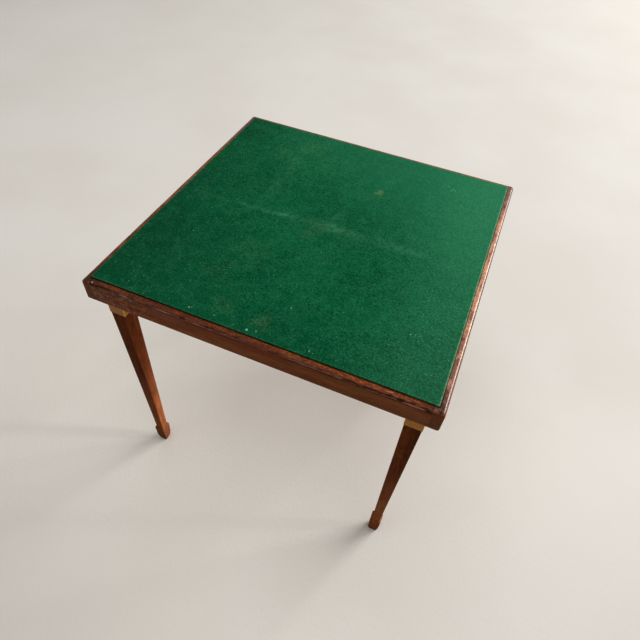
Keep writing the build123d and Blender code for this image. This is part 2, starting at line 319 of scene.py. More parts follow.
def soft_lamp(name, place, wide, high, power):
    """A rectangular lamp of the given size in metres that the camera itself doesn't see."""
    data = bpy.data.lights.new(name, "AREA")
    data.shape = "RECTANGLE"
    data.size = wide
    data.size_y = high
    data.energy = power
    add_object(name, data, turned_to(place, lamps_aim)).visible_camera = False


for name, place, wide, high, watts in (
    ("window_lamp", (6.6, 7.9, 4.9), 6.2, 4.6, 1020.0),
    ("side_lamp", (7.4, 3.0, 0.9), 2.4, 1.2, 165.0),
    ("ceiling_lamp", (0.0, 0.0, 4.8), 3.6, 3.6, 66.0),
    ("front_lamp", (-2.8, -3.6, 2.4), 2.4, 2.4, 3.0),
):
    soft_lamp(name, place, wide, high, watts)

beam_data = bpy.data.lights.new("low_beam", "SPOT")
beam_data.energy = 1450.0
beam_data.spot_size = math.radians(8.4)
beam_data.spot_blend = 1.0
beam_data.shadow_soft_size = 0.25
left_leg_low = Vector((-0.34, -0.34, 0.15))
add_object("low_beam", beam_data, turned_to((3.8, 1.3, 0.34), left_leg_low))
bpy.context.scene.view_settings.view_transform = "Standard"
print("world light", room_light, "with four soft lamps and a low beam")

# %% [markdown]
# ## Old varnished mahogany
# Mahogany is a reddish wood with soft darker streaks, and short open pores that show as fine dark
# dashes along the grain. A solid pattern suits it: noise is squeezed along the grain, so its
# blobs become long streaks on the sides of a rail and small dots on its end grain, as in real
# wood, with no unwrapping. Each finish names the way its grain runs.

# %% Grain that every wooden finish shares
varnish_tint = (1.0, 0.7, 0.5, 1.0)
grain_runs = {"x": (0.045, 1, 1), "y": (1, 0.045, 1), "z": (1, 1, 0.045)}


def wood_grain(mix, run, shift=(0, 0, 0), bend=0.6):
    """Streaks, fine lines and pores, each from 0 to 1: three noises squeezed along the grain, the
    finest one cut off high so that only its peaks are left as pores.
    """
    bent = mix.placed(stretch=grain_runs[run], shift=shift)
    streaks = mix.fade(mix.noise(42.0, bent, detail=5.0, rough=0.55, bend=bend), 0.34, 0.66)
    lines = mix.noise(420.0, bent, detail=3.0, rough=0.6)
    pores = mix.fade(mix.noise(1500.0, bent, detail=1.0), 0.62, 0.74)
    return streaks, lines, pores


# %% [markdown]
# ## The battered rails
# The construction has new rails. On the real table the upper arris has taken knocks for decades:
# it dips, it is chipped, and it is rubbed flat in places. Dents painted into a material would leave
# its outline and its highlight perfect, so the rails are made again with real dents, and with the
# arris rubbed rounder than the construction's: 8 mm in radius instead of 4. A rail is one closed
# profile carried along its length, and every station of it is worn a little differently.
#
# The profile goes out along the bottom, up the face, over the arris, in along the bare strip,
# down to the ledge that carries the board, and down the inner side. At the corner joints
# it changes: a cross rail narrows to a tongue, and a side rail opens into a groove for it and then
# closes to its full height. Each profile has equally many points, so they all join up.

# %% Sizes of the rails, taken from the construction
frame_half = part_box("right_rail")[1].x
frame_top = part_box("right_rail")[1].z
rail_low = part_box("right_rail")[0].z
rail_thick = frame_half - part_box("right_rail")[0].x
ledge_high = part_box("baize")[0].z
strip_wide = frame_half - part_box("baize")[1].x
tongue_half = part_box("front_rail")[1].x
shoulder_half = frame_half - rail_thick
rail_middle = frame_half - rail_thick / 2
arris_round = 0.008
under_round = 0.0015
corner_round = 0.005
lip_round = 0.0004
pocket_in = strip_wide - 0.0002
pocket_half = frame_half - pocket_in
tongue_thick = 0.008
groove_in = frame_half - tongue_half - 0.0001
face_break = frame_top - 0.012
hair = 0.00005  # half the gap between two stations where the profile changes
chip = (-0.3557, -0.3767, frame_top - 0.0008)  # the pale spot near the front arris's left end
rail_sizes = (rail_thick, frame_top - rail_low, strip_wide)
print("rail's thickness, depth and bare strip in mm:", [round(1000 * v, 1) for v in rail_sizes])


# %% Profiles of a rail
# How many points each part of a profile has, in the order in which the profile passes them.
bottom_points, under_points, face_points = 5, 5, 4
rise_points, arris_points, strip_points = 6, 13, 6
before_face = bottom_points + under_points
before_arris = before_face + face_points + rise_points
arris_middle = before_arris + arris_points // 2
before_inner = before_arris + arris_points + strip_points


def steps_from(first, last, count):
    """Even steps along a straight line, without its last point."""
    share = np.linspace(0, 1, count, endpoint=False)[:, None]
    return np.array(first) * (1 - share) + np.array(last) * share


def quarter(middle, radius, start, count):
    """A quarter circle from the start angle in degrees down to 90 less."""
    angle = np.radians(np.linspace(start, start - 90, count))
    return np.array(middle) + radius * np.column_stack([np.cos(angle), np.sin(angle)])


def rail_profile(pocket, groove):
    """The outline as pairs (in from the face, up from the floor). The pocket takes away the upper
    inner part above the ledge, and the groove takes away the lower inner part.
    """
    lower_in = groove_in if groove else rail_thick
    lip = (pocket_in - lip_round, frame_top - lip_round)
    # Both kinds of inner part have eight points.
    if pocket:
        inner = [
            quarter(lip, lip_round, 90, 4),
            steps_from((pocket_in, lip[1]), (pocket_in, ledge_high), 3)[1:],
            steps_from((pocket_in, ledge_high), (lower_in, ledge_high), 2),
        ]
    else:
        inner = [
            steps_from((lip[0], frame_top), (rail_thick, frame_top), 6),
            steps_from((rail_thick, frame_top), (rail_thick, ledge_high), 2),
        ]
    between = lower_in if pocket else rail_thick
    return np.concatenate(
        [
            steps_from((lower_in, rail_low), (under_round, rail_low), bottom_points),
            quarter((under_round, rail_low + under_round), under_round, 270, under_points),
            steps_from((0, rail_low + under_round), (0, face_break), face_points + 1)[1:],
            steps_from((0, face_break), (0, frame_top - arris_round), rise_points),
            quarter((arris_round, frame_top - arris_round), arris_round, 180, arris_points),
            steps_from((arris_round, frame_top), (lip[0], frame_top), strip_points + 1)[1:],
            *inner,
            [(between, ledge_high - hair)],
            steps_from((lower_in, ledge_high - 2 * hair), (lower_in, rail_low), bottom_points),
        ]
    )


def tongue_profile(count):
    """The outline of a tongue, in the middle of the rail's thickness, with as many points as the
    rail's own: across below, up, across above and down.
    """
    near, far = (rail_thick - tongue_thick) / 2, (rail_thick + tongue_thick) / 2
    above = count - 2 * before_face - bottom_points
    return np.concatenate(
        [
            steps_from((far, rail_low), (near, rail_low), before_face),
            steps_from((near, rail_low), (near, ledge_high), before_face),
            steps_from((near, ledge_high), (far, ledge_high), above),
            steps_from((far, ledge_high), (far, rail_low), bottom_points),
        ]
    )


rail_outline = rail_profile(True, False)
outline_step = np.roll(rail_outline, -1, axis=0) - np.roll(rail_outline, 1, axis=0)
outline_out = np.column_stack([-outline_step[:, 1], outline_step[:, 0]])
outline_out /= np.linalg.norm(outline_out, axis=1, keepdims=True)
outline_gaps = np.diff(rail_outline, axis=0, prepend=rail_outline[:1])
outline_long = np.cumsum(np.linalg.norm(outline_gaps, axis=1))
from_arris = outline_long - outline_long[arris_middle]
print("profiles of", len(rail_outline), "and", len(tongue_profile(len(rail_outline))), "points")


# %% Wear along the arris
def bell(value):
    """A smooth hump: 1 at zero, near 0 beyond 2."""
    return np.exp(-(value**2))


most_dents = 130
deepest_dent = 0.0016
rub_waves = 9
rub_deep, rub_wide = 0.00022, 0.005
wear_wide = 0.009  # all wear ends one and a half times this far from the arris
seam_deep = 0.00025
full_knock = 0.0007  # a dent this deep is painted as dark as any


def arris_wear(along, seed, battered, marks):
    """How deep each point of each station is worn away, and how much of that is a sharp knock, in
    metres. Slow waves (sines of random length) rub the arris, and dents (a bell along it times a
    bell across it) sit on top, random ones and then the marks that the photograph shows. Battered,
    from 0 to 1, is how rough the whole arris is.
    """
    rng = np.random.default_rng(seed)
    waves = [
        np.sin(along / rng.uniform(0.004, 0.03) + rng.uniform(0, 6.3)) for _ in range(rub_waves)
    ]
    rubbed = rub_deep * battered * (1 + 1.6 * sum(waves) / rub_waves).clip(0)
    count = round(most_dents * battered)
    spots = np.column_stack(
        [
            rng.uniform(-frame_half, frame_half, count),  # place along the rail
            rng.uniform(0.0010, 0.0034, count) * rng.choice([1, 1, 2], count),  # half its length
            rng.normal(0.0, 0.0026, count),  # how far off the arris
            rng.uniform(0.0006, 0.0020, count),  # half its width
            rng.uniform(0.00012, 0.00055, count) * battered,  # how deep
        ]
    )
    spots = np.concatenate([spots, np.array(marks).reshape(-1, 5)])
    place, half_long, off, half_wide, deep = spots.T
    bell_along = bell((along[:, None] - place) / half_long)
    bell_across = bell((from_arris[None, :] - off[:, None]) / half_wide[:, None])
    dents = np.minimum((deep * bell_along) @ bell_across, deepest_dent)
    seam = seam_deep * bell((shoulder_half - np.abs(along)) / seam_deep)
    reach = bell(from_arris / wear_wide)[None, :] > 0.1
    rubbed = rubbed[:, None] * bell(from_arris / rub_wide)[None, :]
    return (rubbed + dents) * reach, dents * reach, seam


# Place along the rail, half length, distance off the arris, half width and depth, in metres.
front_marks = [
    (-0.3557, 0.0022, 0.0012, 0.0014, 0.0012), (-0.350, 0.0060, -0.0030, 0.0014, 0.0012),
    (-0.338, 0.0090, -0.0010, 0.0022, 0.0011), (-0.318, 0.0100, 0.0004, 0.0020, 0.0012),
    (-0.298, 0.0080, -0.0012, 0.0018, 0.0010), (-0.262, 0.0100, -0.0004, 0.0016, 0.0008),
    (-0.222, 0.0070, -0.0010, 0.0014, 0.0007), (-0.146, 0.0050, -0.0020, 0.0018, 0.0013),
    (-0.139, 0.0030, -0.0030, 0.0014, 0.0010), (-0.0907, 0.0060, -0.0010, 0.0018, 0.0014),
    (-0.079, 0.0030, 0.0010, 0.0012, 0.0009), (0.195, 0.0080, -0.0020, 0.0016, 0.0008),
    (0.207, 0.0110, -0.0010, 0.0018, 0.0008), (0.232, 0.0060, -0.0034, 0.0016, 0.0010),
    (0.2465, 0.0090, -0.0014, 0.0020, 0.0012), (0.262, 0.0050, -0.0026, 0.0018, 0.0012),
    (0.277, 0.0065, -0.0010, 0.0024, 0.0015), (0.2989, 0.0060, -0.0014, 0.0026, 0.0018),
    (0.3205, 0.0070, 0.0006, 0.0018, 0.0009), (0.3431, 0.0080, 0.0004, 0.0018, 0.0009),
    (0.352, 0.0060, -0.0034, 0.0024, 0.0014),
]
print("marks from the photograph on the front arris:", len(front_marks))


# %% Carry the profile along
def circle_drop(radius, reach):
    """How far a quarter circle has dropped at a place that lies `reach` past its start."""
    return radius - np.sqrt(radius**2 - reach**2)


def rounded_ends(ring_in, ring_up, along):
    """The outer corners of a side rail. Near an end the top drops and the bottom rises by the same
    quarter circles as along the arris, and the face moves in by the corner's quarter circle, which
    is smaller by what the height has already taken off.
    """
    end = frame_half - np.abs(along)[:, None]
    top_gone = circle_drop(arris_round, np.clip(arris_round - end, 0, None))
    low_gone = circle_drop(under_round, np.clip(under_round - end, 0, None))
    above = np.clip(ring_up - (frame_top - arris_round), 0, None) / arris_round
    below = np.clip(rail_low + under_round - ring_up, 0, None) / under_round
    up = ring_up - above * top_gone + below * low_gone
    near_top = np.clip(up - (frame_top - arris_round), 0, arris_round)
    near_low = np.clip(rail_low + under_round - up, 0, under_round)
    taken = circle_drop(arris_round, near_top) + circle_drop(under_round, near_low)
    left = np.clip(corner_round - taken, 0, None)
    past = np.clip(corner_round - end, 0, None)
    least_in = corner_round - np.sqrt(np.clip(left**2 - past**2, 0, None))
    return np.maximum(ring_in, least_in), up


wear_ends = 0.006  # the wear of a side rail fades over this length at each end
cross_stations, side_stations = 575, 601
# Extra stations this many millimetres from each end of a side rail, where its corner is round.
end_stations = [0.02, 0.12, 0.35, 0.7, 1.2, 1.8, 2.5, 3.2, 4.0, 5.0]
rail_kinds = np.stack(
    [
        rail_profile(False, False),
        rail_profile(True, False),
        rail_profile(False, True),
        rail_profile(True, True),
        tongue_profile(len(rail_outline)),
    ]
)
pocket_kind, tongue_kind = 1, 4


def make_rail(name, quarter_turns, crosswise, seed, battered, marks):
    """One rail as a skin of quads: stations along the rail times points round the profile, closed
    by one flat face at each end, and turned into its place about the middle of the table.
    """
    if crosswise:
        along = np.linspace(-shoulder_half, shoulder_half, cross_stations)
        ends = np.array([shoulder_half - 0.0004, shoulder_half + hair, tongue_half])
        along = np.sort(np.concatenate([along, ends, -ends]))
        on_tongue = np.abs(along) > shoulder_half + hair / 2
        kind = np.where(on_tongue, tongue_kind, pocket_kind)
    else:
        along = np.linspace(-frame_half + wear_ends, frame_half - wear_ends, side_stations)
        near_end = frame_half - np.array(end_stations) / 1000
        breaks = [rail_middle - tongue_thick / 2, rail_middle + tongue_thick / 2, pocket_half]
        breaks = np.array([place + side * hair for place in breaks for side in (-1, 1)])
        along = np.sort(np.concatenate([along, near_end, -near_end, breaks, -breaks]))
        grooved = np.abs(np.abs(along) - rail_middle) < tongue_thick / 2
        kind = (np.abs(along) < pocket_half) + 2 * grooved
    rings = rail_kinds[kind]
    worn, knocks, seam = arris_wear(along, seed, battered, marks)
    on_body = (kind != tongue_kind)[:, None]
    if not crosswise:
        worn = worn * np.clip((frame_half - np.abs(along)) / wear_ends, 0, 1)[:, None]
    worn = worn * on_body
    outer = np.arange(len(rail_outline))
    outer = (outer >= before_face - 1) & (outer < before_inner)
    if crosswise:
        worn = worn + seam[:, None] * outer[None, :] * on_body
    ring_in = rings[..., 0] - worn * outline_out[None, :, 0]
    ring_up = rings[..., 1] - worn * outline_out[None, :, 1]
    if not crosswise:
        ring_in, ring_up = rounded_ends(ring_in, ring_up, along)

    turn = math.pi / 2 * quarter_turns
    cosine, sine = round(math.cos(turn)), round(math.sin(turn))
    flat_x = np.broadcast_to(along[:, None], ring_in.shape)
    flat_y = ring_in - frame_half
    turned = (flat_x * cosine - flat_y * sine, flat_x * sine + flat_y * cosine, ring_up)
    points = np.stack(turned, axis=-1).reshape(-1, 3)
    stations, around = ring_in.shape
    at = np.arange(stations * around).reshape(stations, around)
    following = np.roll(at, -1, axis=1)
    quads = np.stack([at[:-1], at[1:], following[1:], following[:-1]], axis=-1).reshape(-1, 4)
    mesh = bpy.data.meshes.new(name)
    mesh.from_pydata(points, [], quads.tolist() + [at[0].tolist(), at[-1][::-1].tolist()])
    mesh.polygons.foreach_set("use_smooth", np.ones(len(quads) + 2, bool))
    mesh.set_sharp_from_angle(angle=math.radians(40))
    knocked = (knocks * on_body / full_knock).clip(0, 1).astype(np.float32).reshape(-1)
    mesh.attributes.new("knocked", "FLOAT", "POINT").data.foreach_set("value", knocked)
    mesh.update()
    return add_object(name, mesh)


rails = {
    "front_rail": make_rail("worn_front_rail", 0, True, 11, 1.0, front_marks),
    "right_rail": make_rail("worn_right_rail", 1, False, 12, 0.12, []),
    "back_rail": make_rail("worn_back_rail", 2, True, 13, 0.6, []),
    "left_rail": make_rail("worn_left_rail", 3, False, 14, 0.8, []),
}
for node, rail in rails.items():
    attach(rail, "table_top")
    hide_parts(node)
    print(rail.name, "faces:", len(rail.data.polygons))

# %% [markdown]
# ### Varnish on the rails
# The varnish is dark and brown on the faces. On top it is redder and streaked along the rail, with
# orange where it is rubbed through. Dirt sits in the knocks and along the arris. The narrow strip
# against the cloth is painted dark, partly dirt and partly painted shade from the cloth's raised
# edge, and a broken pale line just below the arris is a painted highlight. The arris itself is
# polished, so it catches a thin line of light. How far a point lies from the side and the top
# follows from its coordinates, because the frame is a plain square, and the mesh itself says where
# its knocks are.

# %% Frame finish
def distances_in(mix):
    """How far a point of the frame is in from the nearest outer side and down from the top, in
    metres: the half side less the larger of x and y without their signs, and the top less z.
    """
    x, y, z = mix.axes()
    furthest = mix.math("MAXIMUM", mix.unsigned(x), mix.unsigned(y))
    return mix.less(frame_half, furthest), mix.less(frame_top, z)


def frame_mahogany(name, run, shift, tones, lighter, battered, golden, line_low, shine):
    """Old varnish over mahogany. `across` is the distance in from the side less the distance down
    from the top: 0 on the arris, more on the top, less on the face. The darker and lighter tones
    are patches of the bare strip on top, and the lighter ones grow more common from the first to
    the second place of `lighter` along the rail. The dark line of dirt lies `line_low` metres down
    the face, and the polished line at `shine` across, each given at the rail's two ends.
    """
    mix = Finish(name)
    place_x, place_y = mix.axes()[:2]
    place = {"x": place_x, "y": place_y}[run]
    from_middle = mix.unsigned(place)
    streaks, lines, pores = wood_grain(mix, run, shift)
    drawn, patchy = (
        mix.placed(stretch=(share, 1, 1) if run == "x" else (1, share, 1), shift=shift)
        for share in (0.10, 0.4)
    )
    mellow = mix.noise(16.0, patchy, detail=5.0, rough=0.6)
    wood = mix.coats(
        mix.blend(streaks, paint(100, 49, 15), paint(130, 67, 24)),
        (mix.fade(mellow, 0.5, 0.66, 0.0, 0.55), 96, 62, 22),
        (mix.fade(mellow, 0.5, 0.34, 0.0, 0.5), 118, 44, 16),
        (mix.fade(lines, 0.4, 0.66, 0.0, 0.7), 66, 30, 11),
        (mix.times(pores, 0.6), 30, 14, 8),
    )

    from_side, from_top = distances_in(mix)
    across = mix.less(from_side, from_top)
    on_top = mix.fade(across, -0.0015, 0.002)
    patches = mix.noise(60.0, patchy, detail=6.0, rough=0.7)
    patches = mix.plus(patches, mix.fade(place, *lighter, -0.07, 0.07))
    strip = mix.blend(mix.fade(patches, 0.40, 0.60), paint(*tones[0]), paint(*tones[1]))
    fine = mix.noise(420.0, patchy, detail=4.0, rough=0.7)
    flecks = mix.times(mix.fade(fine, 0.52, 0.66), mix.fade(place, *lighter, 0.25, 0.55))
    dark_flecks = mix.fade(fine, 0.46, 0.32, 0.0, 0.7)
    strip = mix.coats(strip, (flecks, *golden), (dark_flecks, 44, 24, 18))
    streaky = mix.fade(mix.noise(330.0, drawn, detail=4.0, rough=0.7), 0.42, 0.6)
    strip = mix.blend(mix.times(streaky, 0.35), strip, wood)
    rubs = mix.fade(mix.noise(520.0, drawn, detail=3.0, rough=0.7), 0.55, 0.68)
    rubs = mix.times(rubs, mix.fade(place, *lighter, 0.16, 0.6))
    strip = mix.coats(strip, (rubs, *golden))
    if run == "y":
        blotches = mix.noise(210.0, patchy, detail=5.0, rough=0.7)
        blotches = mix.fade(blotches, 0.50, 0.40, 0.0, 0.62)
        shaded = mix.times(mix.fade(place, 0.17, 0.34), mix.fade(fine, 0.3, 0.7, 0.9, 0.5))
        strip = mix.coats(strip, (blotches, 98, 54, 38), (shaded, 96, 66, 64))
        end_grain = mix.fade(from_middle, frame_half - 0.005, frame_half - 0.001, 0.0, 0.5)
        wood = mix.coats(wood, (end_grain, 66, 34, 20))
    wood = mix.blend(mix.times(on_top, 0.9), wood, strip)

    bloom = mix.fade(mix.noise(20.0, patchy, detail=6.0, rough=0.65), 0.46, 0.64)
    to_left = mix.fade(place_x, -0.08, -0.26, 0.15, 0.6)
    bloom = mix.times(bloom, to_left, mix.fade(across, 0.0, -0.004))
    wood = mix.coats(wood, (bloom, 100, 70, 52))
    if run == "x":
        rough_spots = mix.placed(stretch=(0.6, 1, 1), shift=shift)
        scuffs = mix.noise(110.0, rough_spots, detail=6.0, rough=0.85)
        on_face = mix.fade(across, 0.001, -0.002, 0.0, battered**3)
        left_face = mix.times(mix.fade(place_x, -0.16, -0.30, 0.12, 1.0), on_face)
        wood = mix.coats(
            wood,
            (mix.times(mix.fade(scuffs, 0.51, 0.59, 0.0, 0.6), left_face), 140, 104, 76),
            (mix.times(mix.fade(scuffs, 0.49, 0.41, 0.0, 0.75), left_face), 42, 22, 15),
        )

    nearest = mix.math("MINIMUM", mix.unsigned(place_x), mix.unsigned(place_y))
    corner = mix.fade(nearest, frame_half - 0.075, frame_half - 0.012)
    to_front = mix.fade(place_y, 0.1, -0.1, 0.2, 1.0)
    cloudy = mix.fade(mix.noise(120.0, detail=6.0, rough=0.75), 0.36, 0.58, 0.25, 0.88)
    low = mix.fade(place, -0.32, -0.12, *line_low)
    below = mix.plus(across, low)
    worn = mix.times(mix.fade(below, -0.0005, 0.0015), mix.fade(across, 0.006, 0.002))
    grime = mix.fade(mix.noise(110.0, patchy, detail=6.0, rough=0.75), 0.47, 0.62, 0.0, 0.7)
    line = mix.fade(mix.unsigned(below), 0.0026, 0.0008)
    dirty = mix.fade(mix.noise(130.0, drawn, detail=6.0, rough=0.75), 0.42, 0.56, 0.12, 0.85)
    # A pale broken line just below the arris: a painted highlight that stands for the reflection on
    # the worn arris.
    wander = mix.fade(mix.noise(150.0, drawn, detail=4.0), 0.3, 0.7, -0.002, 0.002)
    middle = mix.plus(across, mix.times(low, 0.5), wander)
    painted_arris_glint = mix.fade(mix.unsigned(middle), 0.0022, 0.0004)
    broken = mix.noise(230.0, drawn, detail=6.0, rough=0.75)
    broken = mix.fade(broken, 0.47, 0.59, 0.0, 0.8 * battered)
    knocked = mix.read("knocked")
    # The dark strip against the cloth is partly dirt and partly painted shade cast by the cloth's
    # raised edge.
    gutter_dirt_and_shade = mix.fade(from_side, strip_wide - 0.0026, strip_wide - 0.0011)
    dust = mix.fade(mix.noise(64.0, patchy, detail=5.0, rough=0.7), 0.36, 0.60, 0.95, 0.45)
    wood = mix.coats(
        wood,
        (mix.times(corner, on_top, to_front, cloudy), 52, 29, 23),
        (mix.times(worn, 0.45 * battered), 112, 66, 52),
        (mix.times(worn, mix.times(grime, battered)), 46, 25, 20),
        (mix.times(line, mix.times(dirty, battered)), 34, 18, 14),
        (mix.times(painted_arris_glint, broken), 164, 118, 108),
        (mix.fade(knocked, 0.3, 1.0, 0.0, 0.78), 26, 15, 15),
        (mix.spot_at(chip, 0.0034, 0.3), 236, 176, 134),
        (mix.times(gutter_dirt_and_shade, on_top, dust), 16, 9, 7),
    )
    inside = mix.fade(from_side, strip_wide - 0.0002, strip_wide + 0.0004)
    wood = mix.blend(inside, wood, mix.blend(lines, paint(112, 74, 44), paint(84, 52, 30)))

    centre = mix.less(across, mix.fade(place, -0.36, 0.30, *shine))
    polish = mix.fade(mix.unsigned(centre), 0.0028, 0.0010)
    ended = mix.fade(from_middle, frame_half - 0.004, frame_half - 0.012)
    smooth = mix.noise(70.0, patchy, detail=5.0)
    smooth = mix.fade(smooth, 0.36, 0.56, 1 - battered, 1 - 0.7 * battered)
    polish = mix.times(polish, ended, smooth, mix.less(1.0, knocked))
    gloss = mix.fade(mix.noise(30.0, detail=4.0), 0.3, 0.7, 0.3, 0.46)
    gloss = mix.math("ADD", gloss, mix.times(knocked, 0.3), clamp=True)
    height = mix.less(mix.times(lines, 0.25), mix.times(pores, 0.4))
    mix.shade(
        Base_Color=wood,
        Roughness=gloss,
        Normal=mix.relief(height, 0.00015),
        Specular_IOR_Level=0.04,
        Specular_Tint=varnish_tint,
        Coat_Weight=polish,
        Coat_Roughness=0.2,
    )
    return mix.material


# For each rail: the way it runs, where its pattern starts, the two tones of its strip, the places
# between which the lighter one takes over, how battered it is, the colour of its light marks, its
# dark line and its polished line.
orange, amber, lit_straw = (226, 142, 88), (190, 124, 78), (236, 190, 142)
for node, *look in (
    ("front_rail", "x", (0.3, 0.1, 0.0), ((70, 32, 15), (124, 57, 26)),
     (-0.15, 0.25), 1.0, orange, (0.0015, 0.0078), (0.0028, 0.0028)),
    ("back_rail", "x", (1.7, 0.6, 0.2), ((110, 64, 40), (154, 98, 64)),
     (-0.3, 0.3), 0.6, amber, (0.001, 0.001), (0.0028, 0.0028)),
    ("left_rail", "y", (0.9, 2.1, 0.4), ((72, 38, 22), (132, 82, 52)),
     (-0.35, 0.1), 0.8, amber, (0.001, 0.001), (0.0028, 0.0028)),
    # The right rail's strip tones, its lighter patches and its straw flecks are painted light: the
    # strip is painted as lit by the low sun, far lighter than the same varnish on the other rails.
    ("right_rail", "y", (2.6, 1.2, 0.7), ((134, 92, 80), (228, 168, 136)),
     (-0.36, -0.02), 0.15, lit_straw, (0.001, 0.001), (0.0028, 0.0014)),
):
    varnish = frame_mahogany("mahogany_" + node.removesuffix("_rail"), *look)
    rails[node].data.materials.append(varnish)
    print(node, "has the finish", varnish.name)

# %% [markdown]
# ## The legs
# Each leg is sawn from one length of mahogany, so its grain runs down it, and it is stained
# darker than the frame. Where two faces meet, years of carrying have rubbed the colour thin. On a
# square leg the nearness to an arris is simply the smaller of the two distances from the leg's
# middle line over the larger one: it is 1 on an arris and 0 in the middle of a face, at any
# height of the taper.

# %% Leg finish
def arris_nearness(mix, middle):
    """How near a point of a square upright piece is to an arris, from 0 to 1, and its z: the
    smaller distance from the piece's middle line over the larger one.
    """
    x, y, z = mix.axes(mix.placed(shift=(-middle.x, -middle.y, 0)))
    side, other = mix.unsigned(x), mix.unsigned(y)
    nearer, further = (mix.math(which, side, other) for which in ("MINIMUM", "MAXIMUM"))
    return mix.math("DIVIDE", nearer, further), z


def leg_mahogany(name, middle, shift, dusty):
    """Dark stained mahogany along Z, thinner on the arrises, and chipped at the foot. Dusty is the
    least and the most share of a lighter colour near the floor, partly fading and dust and partly
    painted light.
    """
    mix = Finish(name)
    streaks, lines, pores = wood_grain(mix, "z", shift, bend=0.1)
    arris, z = arris_nearness(mix, middle)
    thin = mix.noise(60.0, mix.placed(stretch=(1, 1, 0.25), shift=shift), detail=5.0)
    rubbed = mix.times(mix.fade(arris, 0.92, 0.99), mix.fade(thin, 0.42, 0.6))
    # Lighter towards the floor: partly faded and dusty wood, partly painted light for the sun on
    # the lower legs.
    faded_and_lit_low = mix.times(mix.fade(z, 0.42, 0.06), mix.fade(thin, 0.3, 0.7, *dusty))
    upright = mix.placed(stretch=(1, 1, 0.35), shift=shift)
    mottled = mix.noise(110.0, upright, detail=6.0, rough=0.7)
    scraped = mix.fade(mix.noise(90.0, detail=4.0), 0.45, 0.6)
    scraped = mix.times(mix.fade(z, 0.03, 0.002), scraped)
    wood = mix.coats(
        mix.blend(streaks, paint(75, 35, 15), paint(101, 48, 21)),
        (mix.fade(lines, 0.4, 0.66, 0.0, 0.6), 52, 27, 14),
        (mix.times(pores, 0.6), 30, 14, 9),
        (mix.times(rubbed, 0.45), 140, 78, 38),
        (faded_and_lit_low, 136, 80, 46),
        (mix.fade(mottled, 0.48, 0.34, 0.0, 0.45), 44, 20, 10),
        (mix.fade(mottled, 0.52, 0.68, 0.0, 0.22), 124, 66, 38),
        (mix.times(mix.fade(z, 0.075, 0.045), 0.7), 84, 45, 27),
        (mix.times(scraped, 0.7), 60, 40, 32),
    )
    gloss = mix.fade(mix.noise(26.0, detail=4.0), 0.3, 0.7, 0.36, 0.56)
    height = mix.less(mix.times(lines, 0.25), mix.times(pores, 0.4))
    mix.shade(
        Base_Color=wood,
        Roughness=gloss,
        Normal=mix.relief(height, 0.00015),
        Specular_IOR_Level=0.004,
        Specular_Tint=varnish_tint,
    )
    return mix.material


corners = ("front_left", "front_right", "back_right", "back_left")
leg_finishes = {}
for number, corner in enumerate(corners):
    low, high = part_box("leg_" + corner)
    shift = (0.37 * number, 1.3 * number, 0.9 * number)
    # The two front legs take the most of the lighter low colour; in part it is painted light.
    dusty = {"front_left": (0.3, 0.8), "front_right": (0.5, 1.0)}.get(corner, (0.15, 0.5))
    leg_finishes["leg_" + corner] = leg_mahogany(
        "mahogany_leg_" + corner, (low + high) / 2, shift, dusty
    )
print("leg finishes:", sorted(leg_finishes))

# %% [markdown]
# ## Plain woods under the top
# Nobody sees the underside while the table stands, so the maker left it bare: a board of pale
# plywood, a batten screwed across it, and small blocks glued in the angle between board and
# rail. Bare wood is dry and dull, with the same grain but little contrast, and gathers dust.

# %% Bare wood and plywood
def bare_wood(name, run, pale, dark, shift=(0, 0, 0)):
    """Planed, unfinished wood that has yellowed a little, with dusty patches."""
    mix = Finish(name)
    streaks, lines, pores = wood_grain(mix, run, shift)
    dust = mix.fade(mix.noise(9.0, detail=5.0), 0.42, 0.7)
    wood = mix.coats(
        mix.blend(streaks, paint(*pale), paint(*dark)),
        (mix.times(mix.fade(lines, 0.4, 0.75), 0.5), *dark),
        (mix.times(pores, 0.4), 92, 66, 42),
        (mix.times(dust, 0.3), 150, 134, 112),
    )
    height = mix.less(mix.times(lines, 0.4), mix.times(pores, 0.4))
    mix.shade(
        Base_Color=wood,
        Roughness=mix.fade(dust, 0, 1, 0.68, 0.85),
        Normal=mix.relief(height, 0.00025),
    )
    return mix.material


batten_finish = bare_wood("bare_batten", "x", (182, 142, 98), (150, 108, 70))
blocks_finish = bare_wood("bare_blocks", "x", (176, 134, 90), (146, 104, 66), (0.5, 0.2, 0.1))
board_finish = bare_wood("plywood_board", "y", (200, 168, 124), (178, 142, 98), (0.2, 0.8, 0.3))
print("bare woods:", batten_finish.name, blocks_finish.name, board_finish.name)

# %% [markdown]
# ## Brass and steel
# The leg caps, the corner brackets and their screws are brass that has not been polished for
# decades. It shows a dull olive gold, browner where the tarnish is thick, and brighter on its
# arrises, partly where the metal is rubbed and partly as a painted highlight. The pins, the washers
# and the batten's screws are plain steel with a grey skin and specks of rust.

